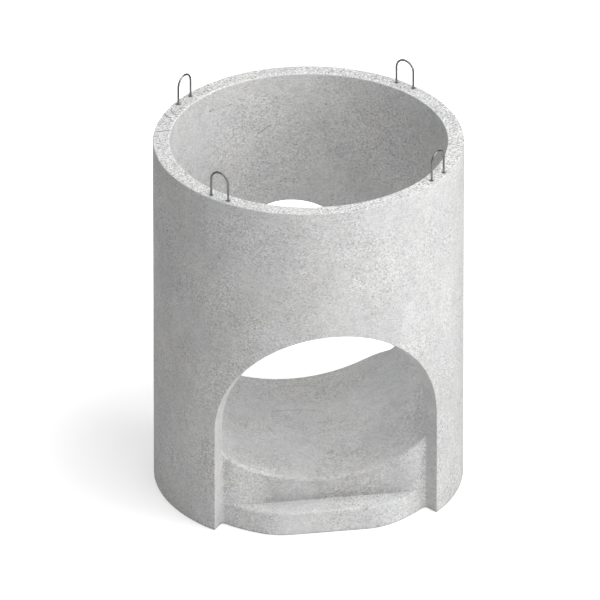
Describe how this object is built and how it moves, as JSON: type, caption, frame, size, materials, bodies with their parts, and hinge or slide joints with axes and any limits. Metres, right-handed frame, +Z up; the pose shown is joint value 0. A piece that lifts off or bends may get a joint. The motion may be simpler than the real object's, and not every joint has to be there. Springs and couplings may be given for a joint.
{
  "type": "concrete manhole chamber",
  "caption": "Round precast concrete manhole chamber with arched pipe openings at both sides, a cast channel floor with pipe ledges, and steel lifting loops on the rim.",
  "frame": {"origin": "centre of the flat underside", "axes": "+Z up along the shaft, the pipe run along Y with the front opening towards -Y, +X to the right when facing the front opening"},
  "size_m": [1.68, 1.68, 2.199],
  "materials": {
    "concrete": "bare cast concrete, pale grey, fine pits and faint mottling",
    "steel_bar": "plain hot rolled bar, dull grey"
  },
  "bodies": {
    "root": {"concrete_body": "concrete", "lifting_loop_front_left": "steel_bar", "lifting_loop_front_right": "steel_bar", "lifting_loop_rear_left": "steel_bar", "lifting_loop_rear_right": "steel_bar"}
  },
  "joints": []
}
